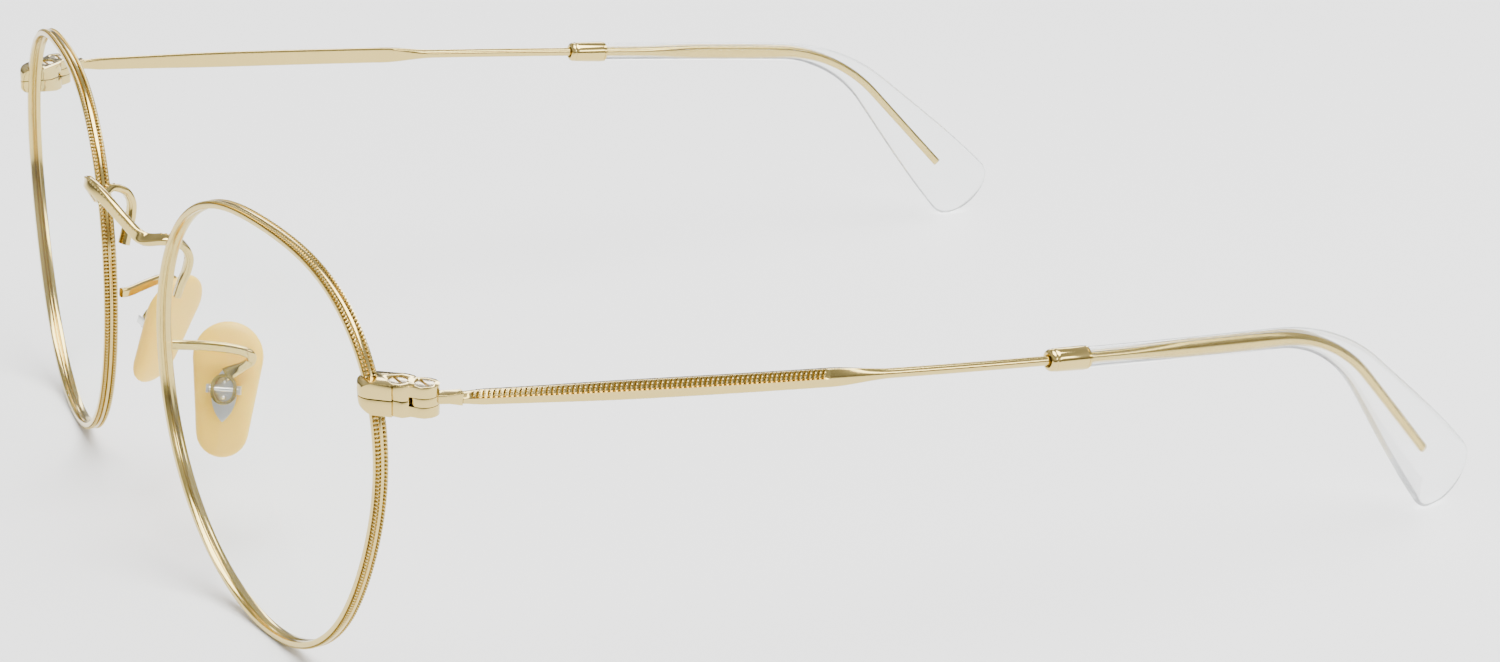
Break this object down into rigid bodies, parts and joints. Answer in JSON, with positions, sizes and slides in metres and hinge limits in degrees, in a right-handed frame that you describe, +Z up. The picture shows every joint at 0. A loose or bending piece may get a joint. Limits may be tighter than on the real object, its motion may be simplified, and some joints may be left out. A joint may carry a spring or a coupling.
{
  "type": "round wire eyeglasses",
  "caption": "Round full-rim wire eyeglasses with clear lenses, a saddle bridge, rocking nose pads, and temples that fold on hinges to clear curved ear tips.",
  "frame": {"origin": "centre of the footprint, on the surface that the rims and the tip ends stand on", "axes": "+X to the wearer's left, +Y from the front towards the ear tips, +Z up"},
  "size_m": [0.1294, 0.1562, 0.0491],
  "materials": {
    "gold_rim": "polished pale gold plate with beaded edges",
    "gold_polished": "polished pale gold plate",
    "gold_temple": "polished pale gold plate, beaded flat arm",
    "steel_screw": "polished slotted screw",
    "silver_clip": "polished",
    "clear_lens": "clear, uncoated",
    "clear_tip": "clear gloss acetate",
    "pad_silicone": "soft translucent apricot silicone"
  },
  "bodies": {
    "front": {"rim_left": "gold_rim", "rim_right": "gold_rim", "lens_left": "clear_lens", "lens_right": "clear_lens", "bridge": "gold_polished", "endpiece_upper_left": "gold_polished", "endpiece_upper_right": "gold_polished", "endpiece_lower_left": "gold_polished", "endpiece_lower_right": "gold_polished", "rim_screw_left": "steel_screw", "rim_screw_right": "steel_screw", "hinge_screw_left": "steel_screw", "hinge_screw_right": "steel_screw", "pad_arm_left": "gold_polished", "pad_arm_right": "gold_polished", "pad_box_left": "gold_polished", "pad_box_right": "gold_polished"},
    "temple_left_arm": {"temple_left": "gold_temple", "collar_left": "gold_polished", "tip_left": "clear_tip"},
    "temple_right_arm": {"temple_right": "gold_temple", "collar_right": "gold_polished", "tip_right": "clear_tip"},
    "pad_left_rocker": {"pad_clip_left": "silver_clip", "pad_insert_left": "silver_clip", "nose_pad_left": "pad_silicone"},
    "pad_right_rocker": {"pad_clip_right": "silver_clip", "pad_insert_right": "silver_clip", "nose_pad_right": "pad_silicone"}
  },
  "joints": [
    {"name": "temple_left_fold", "type": "hinge", "parent": "front", "child": "temple_left_arm", "pos_m": [0.0615, -0.062, 0.0374], "axis": [0, 0, 1], "range_deg": [0, 87]},
    {"name": "temple_right_fold", "type": "hinge", "parent": "front", "child": "temple_right_arm", "pos_m": [-0.0615, -0.062, 0.0374], "axis": [0, 0, -1], "range_deg": [0, 83]},
    {"name": "pad_left_rock", "type": "hinge", "parent": "front", "child": "pad_left_rocker", "pos_m": [0.01235, -0.06636, 0.02062], "axis": [0.4453, 0.8931, -0.0647], "range_deg": [-8, 8]},
    {"name": "pad_right_rock", "type": "hinge", "parent": "front", "child": "pad_right_rocker", "pos_m": [-0.01235, -0.06636, 0.02062], "axis": [0.4453, -0.8931, 0.0647], "range_deg": [-8, 8]}
  ]
}
